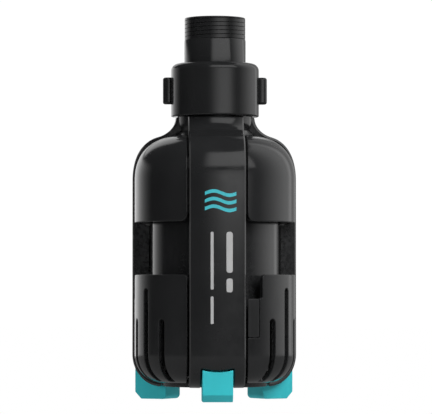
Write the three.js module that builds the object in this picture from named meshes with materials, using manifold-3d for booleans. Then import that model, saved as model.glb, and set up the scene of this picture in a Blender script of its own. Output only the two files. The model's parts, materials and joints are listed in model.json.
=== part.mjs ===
// Submersible in-line centrifugal pump. Millimetres, +Z up, origin on the floor under the
// pump's axis. The front arm of the frame faces -Y, and everything structural repeats at 120 degrees.
// Water enters through the slots and windows, rises round the motor can, turns into the
// impeller's eye from below and leaves through the neck and the threaded nozzle.
import * as THREE from "three";
import { mergeVertices } from "three/addons/utils/BufferGeometryUtils.js";
import Module from "manifold-3d";

const wasm = await Module();
wasm.setup();

// Driving dimensions.
const GAP = 0.3; // between pieces that touch
const RUNNING_GAP = 0.1; // between the shaft and what turns on it or round it
const SIDES = 30; // facets of a full turn on the outside
const INNER_SIDES = 18; // facets of a full turn on the pieces inside
const SMALL_SIDES = 8; // facets of screws and pins
const HELIX_SIDES = 12; // facets of one turn of a thread
const ARMS = { front: 0, right: 120, left: -120 }; // degrees about +Z, from -Y towards +X

const ARM = { radius: 46.5, halfWidth: 15.2, skin: 2, bottom: 7.2, innerRadius: 36.1, topThickness: 4 };
const ARM_CORNER = { radial: 17, height: 17.8 }; // quarter ellipse under the arm
const GROOVE = 1.2; // open groove between an arm and the panels beside it
const CORNER_GAP = 4; // how far the shell under an arm ends above the panels' lower edge
const ARM_SPACE_INNER = 24.9; // the basket's floor stays inside this under the arms
const PANEL = { radius: 44.3, thickness: 2.2, bottom: 9.4 };
const PANEL_CORNER = { radial: 14.8, height: 15.6 };
const BASKET_FLOOR = { bottom: 7.4, top: 9.8, radius: 29 };
const WINDOW = { bottom: 68.7, top: 97.4 }; // open band between basket and shoulder shell
const NECK = { radius: 20.9, flare: 21.9, top: 155.7, bottom: 145.9, bore: 14.5, socket: 16.5 };
const SHOULDER_Z = 121.2; // where the arms and the shell turn from straight to domed
const SHELL_BORE = 39.5;
const FOOT = { halfWidth: 8.25, inner: 26.4, outer: 46, height: 17.3, bevel: 3.2 };
const CAN = { radius: 35.6, bore: 33.1, bottom: 16, top: 99.5, plate: 3 };
const CAP = { bottom: 12.5, top: 15.7, lipHeight: 4 };
const WELL = { radius: 15.2, bore: 14.5, bottom: 28, top: 99.8, flange: 22, flangeThickness: 1.5 };
const SHAFT = { radius: 2.5, bottom: 31, top: 124 };
const STATOR = { radius: 32.8, yoke: 27, bore: 15.5, bottom: 38, top: 78, toothHalfWidth: 3.5, teeth: 6 };
const MAGNET = { radius: 13.6, bore: 8.1, bottom: 38.4, top: 78 };
const EYE_RADIUS = 13;
const SUCTION = { radius: 39.2, bottom: 111, top: 114 };
const IMPELLER = { radius: 27, bottom: 115, top: 125, disc: 2, vanes: 6 };
const UNION_THREAD = { pitch: 4, root: 19.4, crest: 20.6, bottom: 158, turns: 2.5, base: 2.6, tip: 1 };
const NUT = { radius: 24.3, bottom: 156, top: 185.3, hole: 17.5, cavityTop: 180.6, bore: 19.75 };
const NUT_GROOVE_RADIUS = 21.5; // the flats of its facets stay outside the neck's thread as the nut turns
const EAR = { reach: 28.8, bottom: 162.9, top: 177.8, thickness: 5, corner: 1.2 };
const NOZZLE = { radius: 17, bore: 13.3, bottom: 174.3, top: 210.6, flange: 19.3, flangeTop: 178 };
const PIPE_THREAD = { pitch: 2.209, root: 15.2, crest: 16.7, bottom: 197.4, turns: 5.4, base: 2.1, tip: 1.1 };
const TAB = { angle: 26.3, halfWidth: 3.45, bottom: 34.8, top: 55.5, thickness: 2.3 };
const NOTCH_RIGHT = 5.6; // half-open notch above the tab, measured from the tab's middle
const SLOT = { width: 4.2, innerRadius: 35, spacing: 17, short: 44.5, tall: 61.2 };
const GLAND = { z: 83, bore: 3.4, flange: 8, spigot: 5.5, nut: 8.2, reach: 46 };
const SCREW = { head: 2.7, shank: 1.5, hole: 1.75, headHeight: 1.9 };
const CAP_SCREW_RADIUS = 25.5;
const CASING_SCREW_RADIUS = 34;
const BEARING_SCREW_RADIUS = 18.6;
const POST = { radius: 3, circle: 31, pin: 1.4 };
const PLATE = { bottom: 101.6, top: 104.1, radius: 21.5 };

// Finishes: colour, roughness, metalness.
const FINISHES = {
  black: [0x1a1b1c, 0.42, 0],
  charcoal: [0x121314, 0.55, 0],
  teal: [0x2fafb8, 0.6, 0],
  seal: [0x101010, 0.8, 0],
  steel: [0xb8bcc0, 0.3, 1],
  laminations: [0x6c7076, 0.45, 1],
  copper: [0xb5653a, 0.35, 1],
  white: [0xe4e2da, 0.5, 0],
  ceramic: [0xefece2, 0.25, 0],
  magnet: [0x3b3c40, 0.5, 0.4],
  board: [0x1d5a34, 0.5, 0],
};

const radians = THREE.MathUtils.degToRad;
const point = (x, y) => new THREE.Vector2(x, y);

// A three.js geometry as a manifold solid. An outline may wind either way, so a solid that
// comes out inside out is turned round.
function solid(geometry) {
  const bare = new THREE.BufferGeometry();
  bare.setAttribute("position", geometry.getAttribute("position"));
  bare.setIndex(geometry.index);
  const merged = mergeVertices(bare, 1e-4);
  const corners = [];
  for (let i = 0; i < merged.index.count; i += 3) {
    const [a, b, c] = [0, 1, 2].map((k) => merged.index.getX(i + k));
    if (a !== b && b !== c && c !== a) corners.push([a, b, c]);
  }
  const build = (triangles) =>
    new wasm.Manifold(
      new wasm.Mesh({
        numProp: 3,
        vertProperties: new Float32Array(merged.attributes.position.array),
        triVerts: new Uint32Array(triangles.flat()),
      }),
    );
  const made = build(corners);
  return made.volume() < 0 ? build(corners.map(([a, b, c]) => [a, c, b])) : made;
}

function geometryOf(body) {
  const mesh = body.getMesh();
  const geometry = new THREE.BufferGeometry();
  geometry.setAttribute("position", new THREE.BufferAttribute(mesh.vertProperties, 3));
  geometry.setIndex(new THREE.BufferAttribute(mesh.triVerts, 1));
  return geometry;
}

const join = (bodies) => bodies.reduce((all, body) => all.add(body));
const cut = (body, cutters) => cutters.reduce((left, cutter) => left.subtract(cutter), body);
const moved = (body, x, y, z) => solid(geometryOf(body).translate(x, y, z));
const turned = (body, degrees) => solid(geometryOf(body).rotateZ(radians(degrees)));
const threefold = (body, start = 0) => [0, 120, 240].map((angle) => turned(body, start + angle));

// Revolves an outline of [radius, height] points about Z. It starts and ends on the axis,
// or is closed back to its first point.
function revolve(outline, sides = SIDES) {
  const points = outline.map((p) => (p.isVector2 ? p : point(p[0], p[1])));
  const onAxis = points[0].x === 0 && points.at(-1).x === 0;
  const profile = onAxis ? points : [...points, points[0]];
  return solid(new THREE.LatheGeometry(profile, sides).rotateX(Math.PI / 2));
}

const tube = (outer, inner, bottom, top, sides = INNER_SIDES) =>
  revolve([[inner, bottom], [outer, bottom], [outer, top], [inner, top]], sides);

const disc = (radius, bottom, top, sides = INNER_SIDES) =>
  revolve([[0, bottom], [radius, bottom], [radius, top], [0, top]], sides);

const block = (x0, x1, y0, y1, z0, z1) =>
  solid(
    new THREE.BoxGeometry(x1 - x0, y1 - y0, z1 - z0).translate((x0 + x1) / 2, (y0 + y1) / 2, (z0 + z1) / 2),
  );

const rod = (radius, bottom, top, x, y, sides = SMALL_SIDES) =>
  moved(disc(radius, bottom, top, sides), x, y, 0);

// A flat outline pushed up along Z.
function prism(outline, bottom, top) {
  const shape = new THREE.Shape(outline.map(([x, y]) => point(x, y)));
  const options = { depth: top - bottom, bevelEnabled: false, curveSegments: 6 };
  return solid(new THREE.ExtrudeGeometry(shape, options).translate(0, 0, bottom));
}

// Points of a quarter ellipse from straight out (start) to straight down (end) of its centre.
function cornerPoints(centre, radial, height, steps = 5) {
  return Array.from({ length: steps + 1 }, (_, i) => {
    const angle = (i / steps) * (Math.PI / 2);
    return point(centre.x + radial * Math.cos(angle), centre.y - height * Math.sin(angle));
  });
}

// Points along curves, moved inwards (towards the axis side of the surface) by an inset.
function insetPoints(curves, inset, steps) {
  return curves.flatMap((curve, k) =>
    Array.from({ length: steps + 1 }, (_, i) => i / steps)
      .filter((t) => k === 0 || t > 0)
      .map((t) => {
        const along = curve.getTangent(t);
        return curve.getPoint(t).add(point(along.y, -along.x).multiplyScalar(inset));
      }),
  );
}

// The arm's outer line over the shoulder: a concave sweep out of the neck, then a convex one.
const SADDLE = point(31.8, 144.8);
const ARM_CURVES = [
  new THREE.CubicBezierCurve(
    point(NECK.flare, NECK.top),
    point(NECK.flare, 150.6),
    point(25.4, 146.3),
    SADDLE,
  ),
  new THREE.CubicBezierCurve(
    SADDLE,
    point(38.6, 143.1),
    point(ARM.radius, 136.6),
    point(ARM.radius, SHOULDER_Z),
  ),
];
const SHELL_CURVE = new THREE.CubicBezierCurve(
  point(19.8, 145.6),
  point(35.5, 144.8),
  point(PANEL.radius, 136),
  point(PANEL.radius, SHOULDER_Z),
);
const SHELL_BORE_CURVE = new THREE.CubicBezierCurve(
  point(NECK.bore, 144),
  point(23.5, 141.5),
  point(SHELL_BORE, 136),
  point(SHELL_BORE, 118),
);

// A trapezoid section swept along a right-handed helix on a radius.
function helixRidge({ pitch, root, crest, bottom, turns, base, tip }) {
  const sink = 0.25;
  const section = new THREE.Shape([
    point(root - sink, -base / 2),
    point(crest, -tip / 2),
    point(crest, tip / 2),
    point(root - sink, base / 2),
  ]);
  const steps = Math.round(turns * HELIX_SIDES);
  const straight = new THREE.ExtrudeGeometry(section, { depth: turns, steps, bevelEnabled: false });
  const places = straight.getAttribute("position");
  for (let i = 0; i < places.count; i++) {
    const [radius, height, turn] = [places.getX(i), places.getY(i), places.getZ(i)];
    const angle = turn * 2 * Math.PI;
    places.setXYZ(i, radius * Math.cos(angle), radius * Math.sin(angle), bottom + height + turn * pitch);
  }
  return solid(straight);
}

// --- Frame, covers and feet -------------------------------------------------

function frameArm() {
  const corner = point(ARM.radius - ARM_CORNER.radial, ARM.bottom + ARM_CORNER.height);
  const lip = ARM.bottom + 2.2;
  const whole = revolve([
    ...insetPoints(ARM_CURVES, 0, 5),
    ...cornerPoints(corner, ARM_CORNER.radial, ARM_CORNER.height),
    point(corner.x, lip),
    point(ARM.innerRadius, lip),
    point(ARM.innerRadius, WINDOW.top - 0.4),
    point(ARM.radius - ARM.topThickness, WINDOW.top - 0.4),
    ...insetPoints(ARM_CURVES, ARM.topThickness, 5).reverse(),
  ]);
  const pocket = revolve([
    point(corner.x + 1, WINDOW.top - 2.4),
    point(ARM.radius - ARM.skin, WINDOW.top - 2.4),
    ...cornerPoints(corner, ARM_CORNER.radial - ARM.skin, ARM_CORNER.height - ARM.skin).slice(0, -1),
    point(corner.x + 1, lip),
  ]);
  const inside = ARM.halfWidth - ARM.skin;
  const reach = ARM.radius + 5;
  const arm = whole.intersect(block(-ARM.halfWidth, ARM.halfWidth, -reach, -NECK.socket, 0, NOZZLE.top));
  const channel = pocket.intersect(block(-inside, inside, -reach, -corner.x, 0, NOZZLE.top));
  const footGap = FOOT.halfWidth + GAP;
  const notch = block(-footGap, footGap, -reach, -FOOT.inner + GAP, 0, FOOT.height + GAP);
  return cut(arm, [channel, notch]);
}

function outerFrame() {
  const seat = { inner: 15.5, outer: 18.3, depth: 1.8 };
  const end = 174;
  const collar = revolve([
    [NECK.socket, NECK.bottom],
    [18.2, NECK.bottom],
    [19.1, 146.3],
    [19.6, 147.3],
    [NECK.radius, 151.5],
    [NECK.radius, NECK.top],
    [UNION_THREAD.root, NECK.top],
    [UNION_THREAD.root, end - 0.8],
    [18.7, end],
    [seat.outer, end],
    [seat.outer, end - seat.depth],
    [seat.inner, end - seat.depth],
    [seat.inner, end],
    [NECK.bore, end],
    [NECK.bore, 155.3],
    [NECK.socket, 155.3],
  ]);
  const bore = tube(NECK.socket, 0.5, NECK.bottom - 6, 155.3, SIDES);
  const arms = threefold(cut(frameArm(), [bore]));
  return join([collar, helixRidge(UNION_THREAD), ...arms]);
}

function shoulderShell() {
  const recess = ARM.topThickness + GAP;
  const dome = revolve([
    point(NECK.socket - GAP, 155),
    point(NECK.socket - GAP, 145.6),
    ...insetPoints([SHELL_CURVE], 0, 7),
    point(PANEL.radius, WINDOW.top),
    point(SHELL_BORE, WINDOW.top),
    ...insetPoints([SHELL_BORE_CURVE], 0, 5).reverse(),
    point(NECK.bore, 155),
  ]);
  const outside = revolve([
    ...insetPoints(ARM_CURVES, recess, 5),
    point(ARM.radius - recess, WINDOW.top - 1),
    point(60, WINDOW.top - 1),
    point(60, 170),
    point(ARM.radius - recess - 23, 170),
  ]);
  const width = ARM.halfWidth + GROOVE;
  const armSpace = outside.intersect(block(-width, width, -60, -NECK.socket + 0.1, 90, 180));
  const bossTop = 128;
  const boss = rod(POST.radius + 0.2, SUCTION.top + GAP, bossTop, 0, -CASING_SCREW_RADIUS);
  const web = block(-1.2, 1.2, -SHELL_BORE - 1, -CASING_SCREW_RADIUS, SUCTION.top + GAP, bossTop - 4);
  const hole = rod(SCREW.hole, SUCTION.top - 1, SUCTION.top + 9, 0, -CASING_SCREW_RADIUS);
  const cornerGap = block(-width, width, -60, -SHELL_BORE + 5, WINDOW.top - 1, WINDOW.top + CORNER_GAP);
  const shell = cut(dome, [...threefold(armSpace), ...threefold(cornerGap)]);
  return cut(join([shell, ...threefold(join([boss, web]), 60)]), threefold(hole, 60));
}

function strainerBasket() {
  const centre = point(PANEL.radius - PANEL_CORNER.radial, PANEL.bottom + PANEL_CORNER.height);
  const wall = PANEL.thickness;
  const bowl = revolve([
    point(0, BASKET_FLOOR.top),
    point(BASKET_FLOOR.radius - 0.7, BASKET_FLOOR.top),
    ...cornerPoints(centre, PANEL_CORNER.radial - wall, PANEL_CORNER.height - wall).reverse(),
    point(PANEL.radius - wall, WINDOW.bottom),
    point(PANEL.radius, WINDOW.bottom),
    ...cornerPoints(centre, PANEL_CORNER.radial, PANEL_CORNER.height),
    point(BASKET_FLOOR.radius, BASKET_FLOOR.bottom),
    point(0, BASKET_FLOOR.bottom),
  ]);
  const width = ARM.halfWidth + GROOVE;
  const armSpace = block(-width, width, -60, -ARM_SPACE_INNER, 0, 80);
  const side = TAB.halfWidth + GAP;
  const tabSpace = block(-side, side, -60, -SHELL_BORE, TAB.bottom - GAP, TAB.top + GAP);
  const notch = block(-6, NOTCH_RIGHT, -60, -SHELL_BORE, TAB.top, 80);
  const slot = (top) => {
    const end = new THREE.CylinderGeometry(SLOT.width / 2, SLOT.width / 2, 29, 12);
    end.translate(0, -45.5, top - SLOT.width / 2);
    return join([
      block(-SLOT.width / 2, SLOT.width / 2, -60, -SLOT.innerRadius, 0, top - SLOT.width / 2),
      solid(end),
    ]);
  };
  const cutters = [
    ...threefold(armSpace),
    ...threefold(join([tabSpace, notch]), TAB.angle),
    ...threefold(slot(SLOT.tall), 60),
    ...threefold(slot(SLOT.short), 60 - SLOT.spacing),
    ...threefold(slot(SLOT.short), 60 + SLOT.spacing),
  ];
  return cut(bowl, cutters);
}

// Drawn facing -Y; it turns inwards about its lower edge.
function latchTab() {
  const plate = tube(PANEL.radius, PANEL.radius - TAB.thickness, TAB.bottom, TAB.top, SIDES * 2);
  const besideArm = turned(block(ARM.halfWidth + GROOVE, 60, -60, 0, 0, 80), -TAB.angle);
  return plate.intersect(block(-TAB.halfWidth - 1, TAB.halfWidth, -60, 0, 0, 80)).intersect(besideArm);
}

// Drawn facing -Y; the tongue goes up behind the arm's skin.
function foot() {
  const shape = new THREE.Shape();
  const [ledge, shelf, tongueInner, tongueOuter, tongueTop] = [36.5, 11.9, 37.6, 40.6, 24.5];
  shape.moveTo(FOOT.inner + FOOT.bevel, 0);
  shape.lineTo(FOOT.outer - FOOT.bevel, 0);
  shape.absarc(FOOT.outer - FOOT.bevel, FOOT.bevel, FOOT.bevel, -Math.PI / 2, 0);
  shape.lineTo(FOOT.outer, FOOT.height);
  shape.lineTo(tongueOuter, FOOT.height);
  shape.lineTo(tongueOuter, tongueTop);
  shape.lineTo(tongueInner, tongueTop);
  shape.lineTo(tongueInner, FOOT.height);
  shape.lineTo(ledge, FOOT.height);
  shape.lineTo(ledge, shelf);
  shape.lineTo(FOOT.inner, shelf);
  shape.absarc(FOOT.inner + FOOT.bevel, FOOT.bevel, FOOT.bevel, Math.PI, 1.5 * Math.PI);
  const side = new THREE.ExtrudeGeometry(shape, {
    depth: 2 * FOOT.halfWidth,
    bevelEnabled: false,
    curveSegments: 6,
  });
  side.translate(0, 0, -FOOT.halfWidth).rotateX(Math.PI / 2).rotateZ(-Math.PI / 2);
  const tongueWidth = 6;
  const shoulders = [-1, 1].map((sign) => {
    const [near, far] = [sign * tongueWidth, sign * (FOOT.halfWidth + 1)];
    return block(Math.min(near, far), Math.max(near, far), -60, -20, FOOT.height, 40);
  });
  return cut(solid(side), shoulders);
}

// --- Motor --------------------------------------------------------------------

function motorCan() {
  const shell = revolve([
    [CAN.bore, CAN.bottom],
    [CAN.radius, CAN.bottom],
    [CAN.radius, CAN.top - 2],
    [CAN.radius - 2, CAN.top],
    [WELL.radius + GAP, CAN.top],
    [WELL.radius + GAP, CAN.top - CAN.plate],
    [CAN.bore, CAN.top - CAN.plate],
  ]);
  const bossTop = 31;
  const boss = rod(3.2, CAN.bottom, bossTop, 0, -CAP_SCREW_RADIUS);
  const rib = block(-1.5, 1.5, -CAN.bore - 0.8, -CAP_SCREW_RADIUS, CAP.top + CAP.lipHeight + 0.5, bossTop);
  const capHole = rod(SCREW.hole, CAN.bottom - 1, bossTop - 3, 0, -CAP_SCREW_RADIUS);
  const post = join([
    rod(POST.radius, CAN.top - 1, SUCTION.bottom - GAP, 0, -POST.circle),
    rod(POST.pin, CAN.top, SUCTION.top - 0.4, 0, -POST.circle),
  ]);
  const plateHole = rod(SCREW.hole, CAN.top - CAN.plate - 1, CAN.top + 1, 0, -BEARING_SCREW_RADIUS);
  const cableHole = new THREE.CylinderGeometry(4.8, 4.8, 12, INNER_SIDES).translate(0, CAN.radius, 0);
  const holes = [...threefold(capHole, 60), ...threefold(plateHole, 60)];
  const body = join([shell, ...threefold(join([boss, rib]), 60), ...threefold(post)]);
  return cut(body, [...holes, moved(solid(cableHole), 0, 0, GLAND.z)]);
}

function baseCap() {
  const [lipInner, lipOuter, groove] = [29.6, 32.7, 30.9];
  const lipTop = CAP.top + CAP.lipHeight;
  const cap = revolve([
    [0, CAP.bottom],
    [CAN.radius - 2.8, CAP.bottom],
    [CAN.radius, CAP.bottom + 1.3],
    [CAN.radius, CAP.top],
    [lipOuter, CAP.top],
    [lipOuter, CAP.top + 1],
    [groove, CAP.top + 1],
    [groove, CAP.top + 3.2],
    [lipOuter, CAP.top + 3.2],
    [lipOuter, lipTop],
    [lipInner, lipTop],
    [lipInner, CAP.top],
    [0, CAP.top],
  ], INNER_SIDES);
  return cut(cap, threefold(rod(SCREW.hole, CAP.bottom - 1, CAP.top + 1, 0, -CAP_SCREW_RADIUS), 60));
}

// Head down at z 0, shank upwards, with a slot across the head.
function screw(length) {
  const head = disc(SCREW.head, 0, SCREW.headHeight, SMALL_SIDES);
  const shank = disc(SCREW.shank, SCREW.headHeight - 0.2, SCREW.headHeight + length, SMALL_SIDES);
  const slot = block(-3, 3, -0.4, 0.4, -1, 0.9);
  return cut(join([head, shank]), [slot]);
}

const ringSeal = (radius, section) =>
  solid(new THREE.TorusGeometry(radius, section, 5, INNER_SIDES).rotateZ(-Math.PI / 2));

function spokes(outerRadius, bottom, top) {
  const ring = tube(outerRadius, STATOR.yoke, bottom, top);
  const teeth = Array.from({ length: STATOR.teeth }, (_, i) =>
    turned(
      block(-STATOR.toothHalfWidth, STATOR.toothHalfWidth, -STATOR.yoke - 1, 0, bottom, top),
      (i * 360) / STATOR.teeth,
    ),
  );
  return cut(join([ring, ...teeth]), [disc(STATOR.bore, bottom - 1, top + 1)]);
}

// Drawn round the tooth that faces -Y, as a rounded rectangular winding.
function coil() {
  const [innerWidth, outerWidth] = [STATOR.toothHalfWidth + GAP, 6.6];
  const [low, high, build] = [STATOR.bottom - 2.1, STATOR.top + 2.1, 3.2];
  const frame = (halfWidth, z0, z1) => block(-halfWidth, halfWidth, -25.8, -18.4, z0, z1);
  return cut(frame(outerWidth, low - build, high + build), [
    block(-innerWidth, innerWidth, -30, -10, low, high),
  ]);
}

function controlBoard() {
  const [bottom, top] = [22, 23.6];
  const part = (x0, x1, y0, y1, height) => block(x0, x1, y0, y1, top - 0.1, top + height);
  return join([
    disc(21.4, bottom, top),
    part(-14, -6, -8, 2, 2.4),
    part(2, 9, -13, -7, 1.8),
    part(-5, 3, 8, 14, 3),
    rod(3, top - 0.1, top + 3.4, 11, 5),
    rod(3, top - 0.1, top + 3.4, 4, 1),
  ]);
}

function rotorWell() {
  const wall = WELL.radius - WELL.bore;
  const [seatInner, seatOuter, seatTop, floor] = [7.8, 9.8, 36.5, WELL.bottom + 1.5];
  const flangeTop = WELL.top + WELL.flangeThickness;
  const well = revolve([
    [0, WELL.bottom],
    [WELL.radius - wall, WELL.bottom],
    [WELL.radius, WELL.bottom + wall],
    [WELL.radius, WELL.top],
    [WELL.flange, WELL.top],
    [WELL.flange, flangeTop],
    [WELL.bore, flangeTop],
    [WELL.bore, floor],
    [seatOuter, floor],
    [seatOuter, seatTop],
    [seatInner, seatTop],
    [seatInner, floor],
    [0, floor],
  ], INNER_SIDES);
  return cut(well, threefold(rod(SCREW.hole, WELL.top - 1, flangeTop + 1, 0, -BEARING_SCREW_RADIUS), 60));
}

function bearingPlate() {
  const [hubBore, hubRadius, hubBottom] = [7.3, 9.5, 95];
  const plate = revolve([
    [hubBore, hubBottom],
    [hubRadius, hubBottom],
    [hubRadius, PLATE.bottom],
    [PLATE.radius, PLATE.bottom],
    [PLATE.radius, PLATE.top],
    [hubBore, PLATE.top],
  ], INNER_SIDES);
  const screws = threefold(rod(SCREW.hole, PLATE.bottom - 1, PLATE.top + 1, 0, -BEARING_SCREW_RADIUS), 60);
  const vents = threefold(rod(1.6, PLATE.bottom - 1, PLATE.top + 1, 0, -12));
  return cut(plate, [...screws, ...vents]);
}

// --- Hydraulics -----------------------------------------------------------------

function suctionRing() {
  const ring = revolve([
    [EYE_RADIUS + 1.2, SUCTION.bottom],
    [SUCTION.radius, SUCTION.bottom],
    [SUCTION.radius, SUCTION.top],
    [EYE_RADIUS, SUCTION.top],
    [EYE_RADIUS, SUCTION.bottom + 1.2],
  ], INNER_SIDES);
  const screws = threefold(rod(SCREW.hole, SUCTION.bottom - 1, SUCTION.top + 1, 0, -CASING_SCREW_RADIUS), 60);
  const pins = threefold(rod(POST.pin + GAP, SUCTION.bottom - 1, SUCTION.top + 1, 0, -POST.circle));
  return cut(ring, [...screws, ...pins]);
}

// A strip of even thickness along a curve that sweeps back from the hub to the rim.
function vaneOutline(start, end, sweep, thickness) {
  const at = (radius, degrees) =>
    point(radius * Math.sin(radians(degrees)), -radius * Math.cos(radians(degrees)));
  const middle = at((start + end) / 2, sweep * 0.2);
  const line = new THREE.QuadraticBezierCurve(at(start, 0), middle, at(end, sweep));
  const side = (inset) => insetPoints([line], inset, 5).map((p) => [p.x, p.y]);
  return [...side(thickness / 2), ...side(-thickness / 2).reverse()];
}

function impeller() {
  const hub = 6;
  const vane = prism(vaneOutline(5.5, IMPELLER.radius - 0.6, 48, 1.6), IMPELLER.bottom, IMPELLER.top - 1);
  const vanes = Array.from({ length: IMPELLER.vanes }, (_, i) => turned(vane, (i * 360) / IMPELLER.vanes));
  const body = join([
    disc(hub, IMPELLER.bottom, IMPELLER.top - 1),
    disc(IMPELLER.radius, IMPELLER.top - IMPELLER.disc, IMPELLER.top, SIDES),
    ...vanes,
  ]);
  return cut(body, [disc(SHAFT.radius + RUNNING_GAP, IMPELLER.bottom - 1, SHAFT.top + RUNNING_GAP)]);
}

// A bowl over the impeller with six guide vanes that turn the flow up into the neck.
function diffuser() {
  const [bowlRadius, bowlBottom, bowlTop, tip] = [29, IMPELLER.top + 1.7, IMPELLER.top + 4, 141.5];
  const bowl = revolve([
    [0, bowlBottom],
    [bowlRadius, bowlBottom],
    [bowlRadius, bowlTop],
    [11, 131.5],
    [5, 137],
    [0, tip],
  ], INNER_SIDES);
  const dome = revolve([
    point(0, SUCTION.top + GAP),
    point(SHELL_BORE - GAP, SUCTION.top + GAP),
    ...insetPoints([SHELL_BORE_CURVE], GAP + 0.1, 6).reverse().slice(0, -1),
    point(NECK.bore, 142.8),
    point(0, 142.8),
  ]);
  const fin = block(-1, 1, -50, -10, SUCTION.top + GAP, 137);
  const impellerSpace = disc(IMPELLER.radius + 2.5, SUCTION.top, bowlBottom);
  const fins = [30, 90, 150, 210, 270, 330].map((angle) => turned(cut(fin, [impellerSpace]), angle));
  return join([bowl, ...fins.map((one) => one.intersect(dome))]);
}

// --- Union and outlet -------------------------------------------------------------

function unionNut() {
  const round = 3.9;
  const crown = cornerPoints(point(NUT.radius - round, 0), round, -round, 4).map((p) =>
    point(p.x, NUT.top - round + p.y),
  );
  const body = revolve([
    point(NUT.bore + 0.6, NUT.bottom),
    point(NUT.radius - 0.4, NUT.bottom),
    point(NUT.radius, NUT.bottom + 0.5),
    ...crown,
    point(NUT.hole, NUT.top),
    point(NUT.hole, NUT.cavityTop),
    point(NUT.bore, NUT.cavityTop),
    point(NUT.bore, NUT.bottom + 0.6),
  ]);
  const shape = new THREE.Shape();
  const [left, right, r] = [NUT.radius - 1.6, EAR.reach, EAR.corner];
  shape.moveTo(left, EAR.bottom);
  shape.lineTo(right - r, EAR.bottom);
  shape.absarc(right - r, EAR.bottom + r, r, -Math.PI / 2, 0);
  shape.lineTo(right, EAR.top - r);
  shape.absarc(right - r, EAR.top - r, r, 0, Math.PI / 2);
  shape.lineTo(left, EAR.top);
  const options = { depth: EAR.thickness, bevelEnabled: false, curveSegments: 4 };
  const flat = new THREE.ExtrudeGeometry(shape, options);
  const ear = solid(flat.translate(0, 0, -EAR.thickness / 2).rotateX(Math.PI / 2));
  const groove = helixRidge({
    ...UNION_THREAD,
    root: NUT.bore,
    crest: NUT_GROOVE_RADIUS,
    bottom: UNION_THREAD.bottom - UNION_THREAD.pitch,
    turns: UNION_THREAD.turns + 1.5,
    base: UNION_THREAD.base + 0.5,
    tip: UNION_THREAD.tip + 0.7,
  });
  return cut(join([body, ear, turned(ear, 180)]), [groove]);
}

function outletNozzle() {
  const lead = 0.3;
  const body = revolve([
    [NOZZLE.bore, NOZZLE.bottom],
    [NOZZLE.flange, NOZZLE.bottom],
    [NOZZLE.flange, NOZZLE.flangeTop],
    [NOZZLE.radius, NOZZLE.flangeTop],
    [NOZZLE.radius, PIPE_THREAD.bottom - 1.4],
    [PIPE_THREAD.root, PIPE_THREAD.bottom - 0.6],
    [PIPE_THREAD.root, NOZZLE.top - lead],
    [PIPE_THREAD.root - lead, NOZZLE.top],
    [NOZZLE.bore, NOZZLE.top],
  ]);
  return join([body, helixRidge(PIPE_THREAD)]);
}

// --- Cable gland, drawn along +Y from the can ----------------------------------------

const alongY = (body) => solid(geometryOf(body).rotateX(-Math.PI / 2));

function glandBody() {
  const body = revolve([
    [GLAND.bore, 31],
    [4.5, 31],
    [4.5, 36],
    [GLAND.flange, 36],
    [GLAND.flange, 38.5],
    [GLAND.spigot, 38.5],
    [GLAND.spigot, 43],
    [GLAND.bore, 43],
  ], INNER_SIDES);
  return alongY(body);
}

function glandNut() {
  const hexagon = disc(GLAND.nut, 38.8, GLAND.reach, 6);
  const hollow = disc(GLAND.spigot + GAP, 38, 44.5);
  return alongY(cut(hexagon, [hollow, disc(GLAND.bore, 38, GLAND.reach + 1)]));
}

// --- Assembly --------------------------------------------------------------------------

const pump = new THREE.Group();

function place(name, body, finish, parent = pump, [x, y, z] = [0, 0, 0]) {
  const [color, roughness, metalness] = FINISHES[finish];
  const material = new THREE.MeshStandardMaterial({ color, roughness, metalness });
  const mesh = new THREE.Mesh(geometryOf(body), material);
  mesh.name = name;
  mesh.position.set(x, y, z);
  parent.add(mesh);
}

function turnedGroup(degrees) {
  const group = new THREE.Group();
  group.rotation.z = radians(degrees);
  pump.add(group);
  return group;
}

place("outer_frame", outerFrame(), "black");
place("shoulder_shell", shoulderShell(), "black");
place("strainer_basket", strainerBasket(), "black");
for (const [side, angle] of Object.entries(ARMS)) {
  place(`foot_${side}`, foot(), "teal", turnedGroup(angle));
  place(`latch_tab_${side}`, latchTab(), "black", turnedGroup(angle + TAB.angle));
}

place("motor_can", motorCan(), "charcoal");
place("base_cap", baseCap(), "charcoal");
place("base_o_ring", ringSeal(32, 0.85), "seal", pump, [0, 0, CAP.top + 2.1]);
place("stator_core", spokes(STATOR.radius, STATOR.bottom, STATOR.top), "laminations");
const insulatorThickness = 1.5;
place("end_insulator_lower", spokes(30.5, 0, insulatorThickness), "white", pump, [0, 0, STATOR.bottom - 1.7]);
place("end_insulator_upper", spokes(30.5, 0, insulatorThickness), "white", pump, [0, 0, STATOR.top + 0.2]);
for (let i = 0; i < STATOR.teeth; i++)
  place(`coil_${i + 1}`, coil(), "copper", turnedGroup((i * 360) / STATOR.teeth));
place("control_board", controlBoard(), "board");
place("rotor_well", rotorWell(), "white");
place("well_o_ring", ringSeal(24, 0.9), "seal", pump, [0, 0, CAN.top + 1.05]);
place("bearing_plate", bearingPlate(), "charcoal");

place("shaft", disc(SHAFT.radius, SHAFT.bottom, SHAFT.top), "ceramic");
place("rotor_magnet", tube(MAGNET.radius, MAGNET.bore, MAGNET.bottom, MAGNET.top), "magnet");
const sleeveBore = SHAFT.radius + RUNNING_GAP;
const sleeveRadius = MAGNET.bore - RUNNING_GAP;
const sleeve = join([
  tube(sleeveRadius, sleeveBore, MAGNET.bottom, MAGNET.top + 1),
  tube(6, sleeveBore, MAGNET.top, 93),
]);
place("rotor_sleeve", sleeve, "white");
place("impeller", impeller(), "charcoal");

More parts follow.
